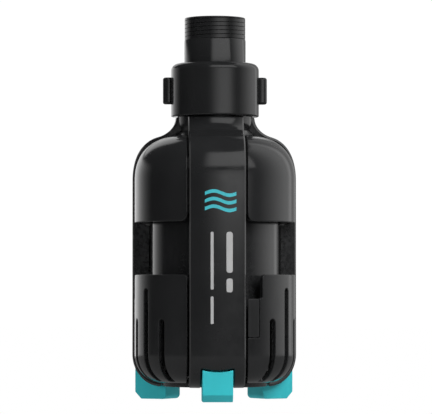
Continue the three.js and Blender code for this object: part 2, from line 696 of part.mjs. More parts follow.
const bushBore = SHAFT.radius + RUNNING_GAP;
for (const [end, bottom, top] of [["lower", 30, 36], ["upper", 95.2, 103.8]]) {
  place(`${end}_bush`, tube(5, bushBore, bottom, top), "ceramic");
  place(`${end}_bush_mount`, tube(7.1, 5 + GAP, bottom, top), "seal");
}
place("thrust_washer_lower", tube(6, bushBore, 36.5, 38), "ceramic");
place("thrust_washer_upper", tube(6, bushBore, 93.4, 94.9), "ceramic");

place("suction_ring", suctionRing(), "charcoal");
place("diffuser", diffuser(), "charcoal");
[60, 180, 300].forEach((angle, i) => {
  const group = turnedGroup(angle);
  const headGap = SCREW.headHeight + GAP;
  place(`base_screw_${i + 1}`, screw(12), "steel", group, [0, -CAP_SCREW_RADIUS, CAP.bottom - headGap]);
  const casingPlace = [0, -CASING_SCREW_RADIUS, SUCTION.bottom - headGap];
  place(`casing_screw_${i + 1}`, screw(10), "steel", group, casingPlace);
  const flipped = new THREE.Group();
  flipped.rotation.x = Math.PI;
  flipped.position.set(0, -BEARING_SCREW_RADIUS, PLATE.top + headGap);
  group.add(flipped);
  place(`bearing_screw_${i + 1}`, screw(6.4), "steel", flipped);
});

place("union_o_ring", ringSeal(16.9, 0.8), "seal", pump, [0, 0, 173.2]);
place("outlet_nozzle", outletNozzle(), "black");
const slipRing = tube(NUT.bore - GAP, NOZZLE.radius + GAP, NOZZLE.flangeTop + GAP, NUT.cavityTop - GAP);
place("slip_ring", slipRing, "white");
place("union_nut", unionNut(), "black");

const gland = new THREE.Group();
gland.position.z = GLAND.z;
pump.add(gland);
place("cable_gland_body", glandBody(), "charcoal", gland);
place("cable_gland_nut", glandNut(), "charcoal", gland);
place("cable_gland_seal", alongY(tube(5, GLAND.bore, 43.3, 44.2)), "seal", gland);

export default pump;
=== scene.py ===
"""Looks of the submersible in-line pump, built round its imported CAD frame.

Metres, +Z up, with the front arm towards -Y. Angles about Z start at -Y and grow towards +X.
"""

import json
import math

import bmesh
import bpy
from mathutils import Matrix, Vector
from mathutils.geometry import delaunay_2d_cdt


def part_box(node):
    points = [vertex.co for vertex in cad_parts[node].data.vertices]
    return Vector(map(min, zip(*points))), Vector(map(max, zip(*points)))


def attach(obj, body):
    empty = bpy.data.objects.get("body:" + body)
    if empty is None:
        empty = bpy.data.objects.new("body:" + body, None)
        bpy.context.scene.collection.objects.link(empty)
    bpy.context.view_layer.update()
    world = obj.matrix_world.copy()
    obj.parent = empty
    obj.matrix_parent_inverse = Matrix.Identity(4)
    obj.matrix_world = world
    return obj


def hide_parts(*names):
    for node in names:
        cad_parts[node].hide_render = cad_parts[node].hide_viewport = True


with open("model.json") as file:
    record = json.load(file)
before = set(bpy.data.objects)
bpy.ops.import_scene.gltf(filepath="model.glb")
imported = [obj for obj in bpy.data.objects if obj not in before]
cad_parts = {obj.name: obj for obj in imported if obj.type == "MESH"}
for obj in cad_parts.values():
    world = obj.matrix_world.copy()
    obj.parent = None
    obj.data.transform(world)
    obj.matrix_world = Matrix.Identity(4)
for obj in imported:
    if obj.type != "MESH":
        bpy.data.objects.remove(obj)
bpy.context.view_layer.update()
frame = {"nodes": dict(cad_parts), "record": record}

MM = 0.001
TURN = 2 * math.pi


def low(node):
    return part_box(node)[0]


def high(node):
    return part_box(node)[1]


def polar(radius, angle, height):
    """The point at an angle about Z from -Y."""
    return Vector((radius * math.sin(angle), -radius * math.cos(angle), height))


def mm(*pairs):
    """Points of (radius, height) from numbers in millimetres."""
    return [Vector((x * MM, y * MM)) for x, y in pairs]


def placed(name, data):
    """A new object in the scene."""
    obj = bpy.data.objects.new(name, data)
    bpy.context.scene.collection.objects.link(obj)
    return obj


# --- Sizes, from the frame's boxes and a few of the design's own dimensions ---

ARM_RADIUS = -low("outer_frame").y
ARM_BOTTOM = low("outer_frame").z
ARM_HALF_WIDTH = 15.2 * MM
ARM_CORNER = (17 * MM, 17.8 * MM)  # radial and vertical half axes of the curve under an arm
ARM_SIDE_DEPTH = 9.9 * MM
ARM_TOP_DEPTH = 4.0 * MM
NECK_FLARE = 21.9 * MM  # an arm's outside at the neck's top
NECK_TOP = 155.7 * MM
NECK_SOCKET = 16.5 * MM
SADDLE = Vector((31.8 * MM, 144.8 * MM))  # where an arm's neck curve meets its shoulder curve
SHOULDER = 121.2 * MM  # below this height the arms and panels are upright
GROOVE_HALF = ARM_HALF_WIDTH + 1.2 * MM
PANEL_RADIUS = high("shoulder_shell").y
SHELL_BOTTOM = low("shoulder_shell").z
SHELL_BORE = 39.5 * MM
CORNER_GAP_TOP = SHELL_BOTTOM + 4 * MM  # where the shell ends under the arms
BASKET_TOP = high("strainer_basket").z
BASKET_FLOOR = low("strainer_basket").z
BASKET_FLOOR_TOP = 11.4 * MM
BASKET_DRAW = 62 * MM  # how far the basket is drawn out downwards
BASKET_FLOOR_RADIUS = 29 * MM
BASKET_FLOOR_EDGE = 24.9 * MM  # flat edge of the floor towards each foot
PANEL_BOTTOM = 9.4 * MM
PANEL_CORNER = (14.8 * MM, 15.6 * MM)
PANEL_THICKNESS = 2.2 * MM
SLOT_HALF = 2.1 * MM
SLOT_END_RADIUS = 35 * MM
SLOT_SPACING = math.radians(17)
SLOT_SHORT_TOP = 44.5 * MM
SLOT_TALL_TOP = 61.2 * MM
TAB_ANGLE = math.radians(26.3)
TAB_HALF_WIDTH = 3.45 * MM
TAB_BOTTOM = low("latch_tab_front").z
TAB_TOP = high("latch_tab_front").z
TAB_GAP = 0.3 * MM
TAB_DEPTH = 2.3 * MM
NOTCH_SIDE = math.radians(33.6)  # where the open notch above a tab ends, from the arm's middle
CAN_RADIUS = -low("motor_can").y
CAN_BOTTOM = low("motor_can").z
CAN_TOP = 99.5 * MM
CAP_BOTTOM = low("base_cap").z
CAP_TOP = 15.7 * MM
UNION_PITCH = 4 * MM
NUT_RADIUS = high("union_nut").y
NUT_BOTTOM = low("union_nut").z
NUT_TOP = high("union_nut").z
NUT_BORE = 19.75 * MM
NUT_HOLE = 17.5 * MM
NUT_CAVITY_TOP = 180.6 * MM
EAR_REACH = high("union_nut").x
EAR_BOTTOM, EAR_TOP = 162.9 * MM, 177.8 * MM
EAR_THICKNESS = 5 * MM
EAR_WIDTH = 6 * MM
PIPE_PITCH = 2.209 * MM
NOZZLE_RADIUS = 17 * MM
NOZZLE_BORE = 13.3 * MM
NOZZLE_BOTTOM = low("outlet_nozzle").z
NOZZLE_TOP = high("outlet_nozzle").z
NOZZLE_FLANGE = -low("outlet_nozzle").y
NOZZLE_FLANGE_TOP = 178 * MM
FOOT_HALF_WIDTH = 8.25 * MM
FOOT_INNER, FOOT_OUTER = 26.4 * MM, -low("foot_front").y
FOOT_TOP = 17.3 * MM
FOOT_DIP = 1.2 * MM  # how far the middle of a foot's top edge lies below its corners
GLAND_HEIGHT = (low("cable_gland_nut").z + high("cable_gland_nut").z) / 2
ARMS = {"front": 0.0, "right": TURN / 3, "left": -TURN / 3}

COLUMNS = 192  # facets of a full turn on round pieces
EDGE = 0.5 * MM  # radius of the moulded edges
CELL = 1.5 * MM  # mesh spacing on the curved sheets


# --- Outlines of the surfaces of revolution ---

def bezier(points, steps=48):
    """Points along a cubic curve, both ends included."""
    a, b, c, d = (Vector(p) for p in points)
    return [
        a * (1 - t) ** 3 + b * 3 * t * (1 - t) ** 2 + c * 3 * t * t * (1 - t) + d * t ** 3
        for t in (i / steps for i in range(steps + 1))
    ]


def corner(centre, radial, height):
    """Points of a quarter ellipse from straight out to straight down of its centre."""
    steps = 40
    turns = (math.pi / 2 * i / steps for i in range(steps + 1))
    return [Vector((centre[0] + radial * math.cos(t), centre[1] - height * math.sin(t))) for t in turns]


class Profile:
    """An outline of (radius, height) from top to bottom, read by arc length."""

    def __init__(self, points):
        self.points = [Vector(points[0])]
        for p in points[1:]:
            if (Vector(p) - self.points[-1]).length > 1e-7:
                self.points.append(Vector(p))
        self.lengths = [0.0]
        for a, b in zip(self.points, self.points[1:]):
            self.lengths.append(self.lengths[-1] + (b - a).length)
        self.length = self.lengths[-1]
        last = len(self.points) - 1
        self.along = []
        for i in range(last + 1):
            step = self.points[min(i + 1, last)] - self.points[max(i - 1, 0)]
            self.along.append(step.normalized())
        self._cursor = 0

    def at(self, s):
        """(point, tangent, outward normal) at an arc length; past an end it goes on straight."""
        i = self._cursor
        last = len(self.lengths) - 2
        while i < last and s > self.lengths[i + 1]:
            i += 1
        while i > 0 and s < self.lengths[i]:
            i -= 1
        self._cursor = i
        span = self.lengths[i + 1] - self.lengths[i]
        t = (s - self.lengths[i]) / span
        p = self.points[i].lerp(self.points[i + 1], t)
        blend = min(max(t, 0.0), 1.0)
        tangent = self.along[i].lerp(self.along[i + 1], blend).normalized()
        return p, tangent, Vector((-tangent.y, tangent.x))

    def where(self, height):
        """The arc length at which the outline comes down to a height."""
        for i in range(len(self.points) - 1):
            a, b = self.points[i].y, self.points[i + 1].y
            if a >= height > b:
                return self.lengths[i] + (a - height) / (a - b) * (self.lengths[i + 1] - self.lengths[i])
        return self.length


ARM_LINE = Profile(
    bezier([(NECK_FLARE, NECK_TOP), *mm((21.9, 150.6), (25.4, 146.3)), SADDLE])
    + bezier([SADDLE, *mm((38.6, 143.1), (46.5, 136.6)), (ARM_RADIUS, SHOULDER)])
    + corner((ARM_RADIUS - ARM_CORNER[0], ARM_BOTTOM + ARM_CORNER[1]), *ARM_CORNER)
)
SHELL_LINE = Profile(
    bezier([*mm((19.8, 145.6), (35.5, 144.8), (44.3, 136)), (PANEL_RADIUS, SHOULDER)])
    + [Vector((PANEL_RADIUS, SHELL_BOTTOM))]
)
BASKET_LINE = Profile(
    [Vector((PANEL_RADIUS, BASKET_TOP))]
    + corner((PANEL_RADIUS - PANEL_CORNER[0], PANEL_BOTTOM + PANEL_CORNER[1]), *PANEL_CORNER)
)
TAB_LINE = Profile([(PANEL_RADIUS, TAB_TOP), (PANEL_RADIUS, TAB_BOTTOM)])


def rounded(radius, steps=4):
    """Section of a rounded edge: (distance in from the side, depth, normal's turn from side to face)."""
    turns = (math.pi / 2 * k / steps for k in range(steps + 1))
    return [(radius * (1 - math.cos(t)), radius * (1 - math.sin(t)), t) for t in turns]


def chamfered(width, depth):
    """Section of a chamfered edge with slightly softened corners."""
    soft = 0.15 * MM
    turn = math.atan2(width, depth)
    return [(0, depth + soft, 0), (width * 0.06, depth * 0.94, turn), (width * 0.94, depth * 0.06, turn),
            (width + soft, 0, math.pi / 2)]


# --- Mesh building ---

class Skin:
    """Collects vertices and faces with a normal for every face corner."""

    def __init__(self):
        self.points, self.faces, self.normals = [], [], []

    def point(self, p):
        self.points.append(Vector(p))
        return len(self.points) - 1

    def face(self, corners, normals):
        """Adds a face, wound so that it faces the way its normals do."""
        a, b, c = (self.points[i] for i in corners[:3])
        facing = (b - a).cross(c - a)
        if len(corners) == 4:
            facing += (c - a).cross(self.points[corners[3]] - a)
        if facing.dot(sum(normals, Vector((0, 0, 0)))) < 0:
            corners, normals = corners[::-1], normals[::-1]
        self.faces.append(tuple(corners))
        self.normals.extend(normals)

    def strip(self, row_a, row_b, normals_a, normals_b):
        """Adds a closed band of faces between two rings."""
        count = len(row_a)
        for i in range(count):
            j = (i + 1) % count
            self.face(
                [row_a[i], row_a[j], row_b[j], row_b[i]],
                [normals_a[i], normals_a[j], normals_b[j], normals_b[i]],
            )

    def add_bmesh(self, mesh):
        """Adds a bmesh; corners are smooth where their faces meet at less than 40 degrees."""
        mesh.normal_update()
        start = len(self.points)
        mesh.verts.index_update()
        for v in mesh.verts:
            self.points.append(v.co.copy())
        limit = math.cos(math.radians(40))
        for f in mesh.faces:
            normals = []
            for loop in f.loops:
                near = [g for g in loop.vert.link_faces if g.normal.dot(f.normal) > limit]
                blend = sum((g.normal * g.calc_area() for g in near), Vector((0, 0, 0)))
                normals.append(blend.normalized() if blend.length > 0 else f.normal.copy())
            self.faces.append(tuple(start + loop.vert.index for loop in f.loops))
            self.normals.extend(normals)
        mesh.free()

    def turned(self, angle):
        """A copy turned about Z."""
        turn = Matrix.Rotation(angle, 3, "Z")
        copy = Skin()
        copy.points = [turn @ p for p in self.points]
        copy.faces = list(self.faces)
        copy.normals = [turn @ n for n in self.normals]
        return copy

    def join(self, other):
        start = len(self.points)
        self.points.extend(other.points)
        self.faces.extend(tuple(start + i for i in f) for f in other.faces)
        self.normals.extend(other.normals)

    def piece(self, name, body, slot, replaces=(), material=None):
        """A Blender object riding on its CAD body, with its slot's material or the one named."""
        mesh = bpy.data.meshes.new(name)
        mesh.from_pydata(self.points, [], self.faces)
        mesh.polygons.foreach_set("use_smooth", [True] * len(mesh.polygons))
        mesh.normals_split_custom_set([tuple(n) for n in self.normals])
        mesh.materials.append(MATERIALS[material or slot])
        obj = placed(name, mesh)
        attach(obj, body)
        if replaces:
            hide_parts(*replaces)


def revolved(skin, outline, columns=COLUMNS):
    """Adds a closed ring made by turning an outline of (radius, height) about Z.

    An anticlockwise outline faces out. Sides that meet at less than 35 degrees are smooth.
    """
    points = [Vector(p) for p in outline]
    count = len(points)
    turns = [TURN * k / columns for k in range(columns)]
    sides = [(points[(i + 1) % count] - points[i]).normalized() for i in range(count)]
    faces_out = [Vector((d.y, -d.x)) for d in sides]
    rows = [[skin.point(polar(p.x, t, p.y)) for t in turns] for p in points]

    def corner_normals(side, at):
        """The normals round the ring of a side, at the outline's point number at."""
        a, b = faces_out[side], faces_out[(at - 1 if side == at else at) % count]
        n = (a + b).normalized() if a.dot(b) > math.cos(math.radians(35)) else a
        return [polar(n.x, t, n.y) for t in turns]

    for i in range(count):
        j = (i + 1) % count
        skin.strip(rows[i], rows[j], corner_normals(i, i), corner_normals(i, j))


def soft_corners(points, radii):
    """Rounds the corners of a closed polyline; radii has one radius for each point."""
    out, steps = [], 6
    count = len(points)
    for i, p in enumerate(points):
        before, after = points[i - 1] - p, points[(i + 1) % count] - p
        radius = radii[i]
        if radius <= 0:
            out.append(p.copy())
            continue
        half = before.angle(after) / 2
        reach = min(
            radius / math.tan(half),
            before.length * (0.49 if radii[i - 1] > 0 else 0.95),
            after.length * (0.49 if radii[(i + 1) % count] > 0 else 0.95),
        )
        start, end = p + before.normalized() * reach, p + after.normalized() * reach
        for k in range(steps + 1):
            t = k / steps
            out.append(start * (1 - t) ** 2 + p * 2 * t * (1 - t) + end * t * t)
    return out


def dense(points, spacing):
    """A closed polyline with no side longer than a spacing."""
    out = []
    for i, p in enumerate(points):
        q = points[(i + 1) % len(points)]
        pieces = max(1, math.ceil((q - p).length / spacing))
        out.extend(p.lerp(q, k / pieces) for k in range(pieces))
    return out


def signed_area(loop):
    """Positive where the loop runs anticlockwise."""
    return sum(a.x * b.y - b.x * a.y for a, b in zip(loop, loop[1:] + loop[:1])) / 2


def inside(p, loop):
    """Whether a flat point lies in a closed polyline."""
    hit = False
    for a, b in zip(loop, loop[1:] + loop[:1]):
        if (a.y > p.y) != (b.y > p.y) and p.x < a.x + (p.y - a.y) / (b.y - a.y) * (b.x - a.x):
            hit = not hit
    return hit


def clear_of(p, loops, margin):
    """Whether a flat point is further than a margin from all points of the loops."""
    return all((q - p).length_squared > margin * margin for loop in loops for q in loop)


def radial(_):
    """The side walls of a sheet that point at the axis."""
    return 0.0


def sheet(skin, line, outline, depth, brim, holes=(), square=radial, lift=0.0, cell=CELL):
    """Adds a shell lying on a surface of revolution.

    line is the Profile, and the loops hold (angle about Z from -Y, arc length down the line).
    The shell goes depth(arc length) inwards, and brim is the section of its outer edges.
    square(angle) says how far a side wall is square to the front: 1 on a piece cut by two
    planes and 0 on a radial wall. lift raises the whole sheet off the surface.
    """
    scale = PANEL_RADIUS

    def flat(loop):
        return [Vector((p[0] * scale, p[1])) for p in loop]

    def place(p, inward):
        angle = p.x / scale
        at, _, out = line.at(p.y)
        radius = at.x - inward * out.x
        height = at.y - inward * out.y
        share = square(angle)
        x = (at.x * share + radius * (1 - share)) * math.sin(angle)
        return Vector((x, -math.sqrt(max(radius * radius - x * x, 1e-12)), height))

    def outward(p):
        angle = p.x / scale
        out = line.at(p.y)[2]
        return polar(out.x, angle, out.y).normalized()

    loops = [dense(flat(outline), cell)] + [dense(flat(h), cell) for h in holes]
    for k, loop in enumerate(loops):
        if (signed_area(loop) > 0) != (k == 0):
            loop.reverse()

    inner_loops, walls = [], []
    for loop in loops:
        count = len(loop)
        lefts, sides = [], []
        for i, p in enumerate(loop):
            at, tangent, _ = line.at(p.y)
            stretch = at.x / scale
            step = loop[(i + 1) % count] - loop[i - 1]
            run = Vector((step.x * stretch, step.y)).normalized()
            left = Vector((-run.y, run.x))
            angle = p.x / scale
            across = Vector((math.cos(angle), math.sin(angle), 0)).lerp(Vector((1, 0, 0)), square(angle))
            down = polar(tangent.x, angle, tangent.y)
            lefts.append((left, stretch))
            sides.append(-(across * left.x + down * left.y).normalized())
        rows, row_normals = [], []
        for offset, sunk, turn in brim:
            places = [
                Vector((p.x + left.x * offset / stretch, p.y + left.y * offset))
                for p, (left, stretch) in zip(loop, lefts)
            ]
            rows.append([skin.point(place(p, sunk - lift)) for p in places])
            row_normals.append([
                (side * math.cos(turn) + outward(p) * math.sin(turn)).normalized()
                for side, p in zip(sides, places)
            ])
        for k in range(len(brim) - 1):
            skin.strip(rows[k], rows[k + 1], row_normals[k], row_normals[k + 1])
        inner_loops.append(places)
        back = [skin.point(place(p, depth(p.y) - lift)) for p in loop]
        skin.strip(back, rows[0], sides, sides)
        walls.append((rows[-1], back))

    corners = [p for loop in inner_loops for p in loop]
    tops = [i for top, _ in walls for i in top]
    edges, start = [], 0
    for loop in inner_loops:
        count = len(loop)
        edges += [(start + i, start + (i + 1) % count) for i in range(count)]
        start += count
    lo = Vector((min(p.x for p in corners), min(p.y for p in corners)))
    hi = Vector((max(p.x for p in corners), max(p.y for p in corners)))
    across, down = max(2, round((hi.x - lo.x) / cell)), max(2, round((hi.y - lo.y) / cell))
    fill = []
    for i in range(1, across):
        for j in range(1, down):
            p = Vector((lo.x + (hi.x - lo.x) * i / across, lo.y + (hi.y - lo.y) * j / down))
            if (
                inside(p, inner_loops[0])
                and not any(inside(p, hole) for hole in inner_loops[1:])
                and clear_of(p, inner_loops, cell * 0.55)
            ):
                fill.append(p)
    flat_points = corners + fill
    tops += [skin.point(place(p, -lift)) for p in fill]
    backs = [skin.point(place(p, depth(p.y) - lift)) for p in flat_points]
    normals = [outward(p) for p in flat_points]
    start = 0
    for _, back in walls:
        end = start + len(back)
        rim_normals = [-n for n in normals[start:end]]
        skin.strip(back, backs[start:end], rim_normals, rim_normals)
        start = end

    made, _, triangles, origins, _, _ = delaunay_2d_cdt(flat_points, edges, [], 0, 1e-9)
    source = [o[0] if o else None for o in origins]
    for triangle in triangles:
        middle = sum((made[i] for i in triangle), Vector((0, 0))) / 3
        if not inside(middle, inner_loops[0]) or any(inside(middle, h) for h in inner_loops[1:]):
            continue
        ids = [source[i] for i in triangle]
        if None in ids:
            continue
        skin.face([tops[i] for i in ids], [normals[i] for i in ids])
        skin.face([backs[i] for i in ids], [-normals[i] for i in ids])


def thread(skin, root, crest, pitch, zone, span, flip=1, columns=96, flank=0.42, flat=0.5, rows_per_turn=16):
    """Adds a tube wall from span[0] to span[1] whose right-handed thread fades in and out over zone.

    flat is the share of half a pitch below the middle of a flank, and flank is half a flank's share.
    flip is -1 on an inside thread. Gives back the top ring's points and normals.
    """
    bottom, top = span
    rows = max(2, round((top - bottom) / pitch * rows_per_turn))

    def radius(angle, z):
        phase = ((z - bottom) / pitch - angle / TURN) % 1.0
        ridge = 1 - abs(2 * phase - 1)
        height = min(max((ridge - (flat - flank)) / (2 * flank), 0.0), 1.0)
        height = height * height * (3 - 2 * height)
        fade = min(max(min(z - zone[0], zone[1] - z) / (pitch * 0.6), 0.0), 1.0)
        return root + (crest - root) * height * fade

    def spot(angle, z):
        return polar(radius(angle, z), angle, z)

    tiny_turn, tiny = 1e-3, 0.01 * MM
    grid, normals = [], []
    for j in range(rows + 1):
        z = bottom + (top - bottom) * j / rows
        ring, ring_normals = [], []
        for i in range(columns):
            angle = TURN * i / columns
            along = spot(angle + tiny_turn, z) - spot(angle - tiny_turn, z)
            up = spot(angle, z + tiny) - spot(angle, z - tiny)
            ring.append(skin.point(spot(angle, z)))
            ring_normals.append(along.cross(up).normalized() * flip)
        grid.append(ring)
        normals.append(ring_normals)
    for j in range(rows):
        skin.strip(grid[j], grid[j + 1], normals[j], normals[j + 1])
    return grid[-1], normals[-1]


def cap_ring(skin, ring, normals, inner, height):
    """Closes a tube wall's top ring with a small bevel and a flat rim that runs in to a radius."""
    turns = [TURN * i / len(ring) for i in range(len(ring))]
    bevel = 0.25 * MM
    reaches = [skin.points[i].xy.length - bevel for i in ring]
    edge = [skin.point(polar(r, t, height)) for r, t in zip(reaches, turns)]
    rim = [skin.point(polar(inner, t, height)) for t in turns]
    up = Vector((0, 0, 1))
    slope = [(n + up).normalized() for n in normals]
    skin.strip(ring, edge, slope, slope)
    skin.strip(edge, rim, [up] * len(ring), [up] * len(ring))


def soften(mesh, width, segments=3):
    """Rounds the sharp edges of a bmesh."""
    bmesh.ops.recalc_face_normals(mesh, faces=mesh.faces)
    sharp = [e for e in mesh.edges if e.calc_face_angle(0) > math.radians(30)]
    bmesh.ops.bevel(
        mesh, geom=sharp, offset=width, segments=segments, profile=0.5, affect="EDGES", clamp_overlap=True
    )
    return mesh


def prism(outline, axis, start, end, bevel, segments=3):
    """A bmesh of a flat outline pushed along an axis ("x", "y" or "z"), with its edges rounded."""
    mesh = bmesh.new()

    def spot(p, along):
        return {"x": (along, p[0], p[1]), "y": (p[0], along, p[1]), "z": (p[0], p[1], along)}[axis]

    lower = [mesh.verts.new(spot(p, start)) for p in outline]
    upper = [mesh.verts.new(spot(p, end)) for p in outline]
    mesh.faces.new(lower[::-1])
    mesh.faces.new(upper)
    for i in range(len(outline)):
        j = (i + 1) % len(outline)
        mesh.faces.new((lower[i], lower[j], upper[j], upper[i]))
    return soften(mesh, bevel, segments)


# --- Materials ---

MATERIALS = {}  # by slot name, with the two prints besides


def node_material(name):
    """A new material in MATERIALS; gives its node tree and shader."""
    material = bpy.data.materials.new(name)
    material.use_nodes = True
    MATERIALS[name] = material
    return material.node_tree, material.node_tree.nodes["Principled BSDF"]


def noise(tree, scale, detail, roughness=0.55, stretch=(1, 1, 1)):
    """The value of a noise fixed to the object."""
    place = tree.nodes.new("ShaderNodeTexCoord")
    mapping = tree.nodes.new("ShaderNodeMapping")
    mapping.inputs["Scale"].default_value = stretch
    node = tree.nodes.new("ShaderNodeTexNoise")
    node.inputs["Scale"].default_value = scale
    node.inputs["Detail"].default_value = detail
    node.inputs["Roughness"].default_value = roughness
    tree.links.new(place.outputs["Object"], mapping.inputs["Vector"])
    tree.links.new(mapping.outputs["Vector"], node.inputs["Vector"])
    return node.outputs["Fac"]


def ramp(tree, source, stops):
    """A colour read from a value, with stops of (value, colour)."""
    node = tree.nodes.new("ShaderNodeValToRGB")
    tree.links.new(source, node.inputs["Fac"])
    elements = node.color_ramp.elements
    while len(elements) < len(stops):
        elements.new(0.5)
    for element, (position, colour) in zip(elements, stops):
        element.position = position
        element.color = (*colour, 1.0)
    return node.outputs["Color"]


def mix(tree, factor, a, b, kind="MIX"):
    """Mixes two colours; each input is a socket or a plain value."""
    node = tree.nodes.new("ShaderNodeMix")
    node.data_type = "RGBA"
    node.blend_type = kind
    for socket, value in ((node.inputs[0], factor), (node.inputs[6], a), (node.inputs[7], b)):
        if isinstance(value, bpy.types.NodeSocket):
            tree.links.new(value, socket)
        elif isinstance(value, tuple):
            socket.default_value = (*value, 1.0)
        else:
            socket.default_value = value
    return node.outputs[2]


def grey(value):
    """A plain grey, to use a colour as a number."""
    return (value, value, value)


def bump(tree, shader, height, distance, strength=1.0, after=None):
    """Roughens the shader's surface, on top of an earlier bump where one is given."""
    node = tree.nodes.new("ShaderNodeBump")
    node.inputs["Strength"].default_value = strength
    node.inputs["Distance"].default_value = distance
    tree.links.new(height, node.inputs["Height"])
    if after is not None:
        tree.links.new(after, node.inputs["Normal"])
    tree.links.new(node.outputs["Normal"], shader.inputs["Normal"])
    return node.outputs["Normal"]


def moulded(name, colour, roughness, spread=0.03, texture=0.001 * MM, grain=2600, worn=1.6, spec=0.5):
    """Moulded plastic or rubber: mottled colour, uneven gloss, fine texture and lighter worn edges."""
    tree, shader = node_material(name)
    darker, paler = (tuple(c * share for c in colour) for share in (0.9, 1.1))
    tone = ramp(tree, noise(tree, 45, 4), [(0.3, darker), (0.7, paler)])
    geometry = tree.nodes.new("ShaderNodeNewGeometry")
    edges = ramp(tree, geometry.outputs["Pointiness"], [(0.515, grey(0)), (0.6, grey(1))])
    scuffs = ramp(tree, noise(tree, 420, 5), [(0.42, grey(0)), (0.62, grey(1))])
    scuffed = mix(tree, 1.0, edges, scuffs, "MULTIPLY")
    lighter = tuple(min(1.0, c * worn + 0.01) for c in colour)
    tree.links.new(mix(tree, scuffed, tone, lighter), shader.inputs["Base Color"])
    stops = [(0.3, grey(roughness - spread)), (0.7, grey(roughness + spread))]
    gloss = ramp(tree, noise(tree, 130, 4), stops)
    tree.links.new(gloss, shader.inputs["Roughness"])
    shader.inputs["Specular IOR Level"].default_value = spec
    fine = bump(tree, shader, noise(tree, grain, 2), texture)
    bump(tree, shader, noise(tree, 60, 1), 0.006 * MM, 0.5, fine)


def metal(name, colour, roughness, stretch=(1, 1, 40)):
    """Metal with fine drawn lines and an uneven shine."""
    tree, shader = node_material(name)
    shader.inputs["Metallic"].default_value = 1.0
    lines = noise(tree, 220, 4, 0.5, stretch)
    tone = ramp(tree, lines, [(0.3, tuple(c * 0.7 for c in colour)), (0.7, colour)])
    tree.links.new(tone, shader.inputs["Base Color"])
    shine = ramp(tree, lines, [(0.3, grey(roughness + 0.12)), (0.7, grey(roughness))])
    tree.links.new(shine, shader.inputs["Roughness"])
    bump(tree, shader, lines, 0.02 * MM)


BLACK = (0.0128, 0.0131, 0.0136)
UNION_BLACK = (0.0122, 0.0125, 0.0129)


def make_materials():
    moulded("frame_plastic", BLACK, 0.15)
    moulded("shell_plastic", BLACK, 0.15)
    moulded("basket_plastic", BLACK, 0.16)
    moulded("latch_plastic", (0.016, 0.0163, 0.0168), 0.24)
    moulded("nut_plastic", UNION_BLACK, 0.13)
    moulded("nozzle_plastic", UNION_BLACK, 0.13)
    moulded("can_plastic", (0.0115, 0.0118, 0.0123), 0.14)
    moulded("inner_plastic", (0.011, 0.0115, 0.012), 0.45)
    moulded("foot_rubber", (0.027, 0.41, 0.455), 0.62, spread=0.06, texture=0.012 * MM, grain=2400,
            worn=1.12, spec=0.3)
    moulded("seal_rubber", (0.012, 0.012, 0.012), 0.7)
    moulded("white_plastic", (0.74, 0.72, 0.66), 0.42, worn=1.05)
    moulded("ceramic", (0.82, 0.8, 0.73), 0.18, texture=0.002 * MM, worn=1.02)
    moulded("board", (0.012, 0.1, 0.035), 0.35, worn=1.3)
    moulded("print_teal", (0.045, 0.40, 0.46), 0.42, texture=0.002 * MM, worn=1.0)
    moulded("print_light", (0.36, 0.36, 0.36), 0.45, texture=0.002 * MM, worn=1.0)
    metal("magnet", (0.05, 0.05, 0.054), 0.5, (1, 1, 1))
    metal("laminations", (0.2, 0.21, 0.23), 0.4)
    metal("stainless", (0.5, 0.51, 0.53), 0.25, (1, 1, 1))
    metal("copper", (0.5, 0.16, 0.06), 0.3, (1, 1, 30))


def finish_cad_nodes():
    """Gives every CAD node the material of its slot; the ones that are rebuilt get hidden later."""
    for part in frame["record"]["subparts"]:
        mesh = frame["nodes"][part["node"]].data
        mesh.materials.clear()
        mesh.materials.append(MATERIALS[part["material_slot"]])


# --- Frame ---

def edge_angle(line, s, offset):
    """The angle at which a plane parallel to an arm's middle, offset from it, meets the line's surface."""
    return math.asin(min(max(offset / line.at(s)[0].x, -0.999), 0.999))


def arm_outline():
    """An arm's outline as (angle, arc length), with the notch for the foot at its lower end."""
    notch_half = FOOT_HALF_WIDTH + 0.3 * MM
    notch_top = ARM_LINE.where(FOOT_TOP + 0.3 * MM)
    lip_bottom = ARM_LINE.where(FOOT_TOP + 0.3 * MM - FOOT_DIP)
    end = ARM_LINE.length
    half = ARM_HALF_WIDTH
    shares = (i / 6 for i in range(5, -6, -1))
    lip = [(notch_half * t, notch_top + (lip_bottom - notch_top) * (1 - t * t)) for t in shares]
    outline = [Vector(p) for p in (
        (-half, 0), (half, 0), (half, end), (notch_half, end),
        (notch_half, notch_top), *lip, (-notch_half, notch_top), (-notch_half, end), (-half, end),
    )]
    small, large = 0.4 * MM, 1.2 * MM
    outline = soft_corners(outline, [0, 0, large, small, small, *[0] * len(lip), small, small, large])
    return [(edge_angle(ARM_LINE, p.y, p.x), p.y) for p in dense(outline, CELL)]


def arm_depth(s):
    """How far an arm's sides go in: thin over the shoulder, deep beside the motor, thin under it."""
    height = ARM_LINE.at(s)[0].y
    if height > SHELL_BOTTOM - 0.4 * MM:
        return ARM_TOP_DEPTH
    thin = 2.6 * MM
    t = min(max((height - ARM_BOTTOM) / ARM_CORNER[1], 0), 1)
    return thin + (ARM_SIDE_DEPTH - thin) * t ** 0.8


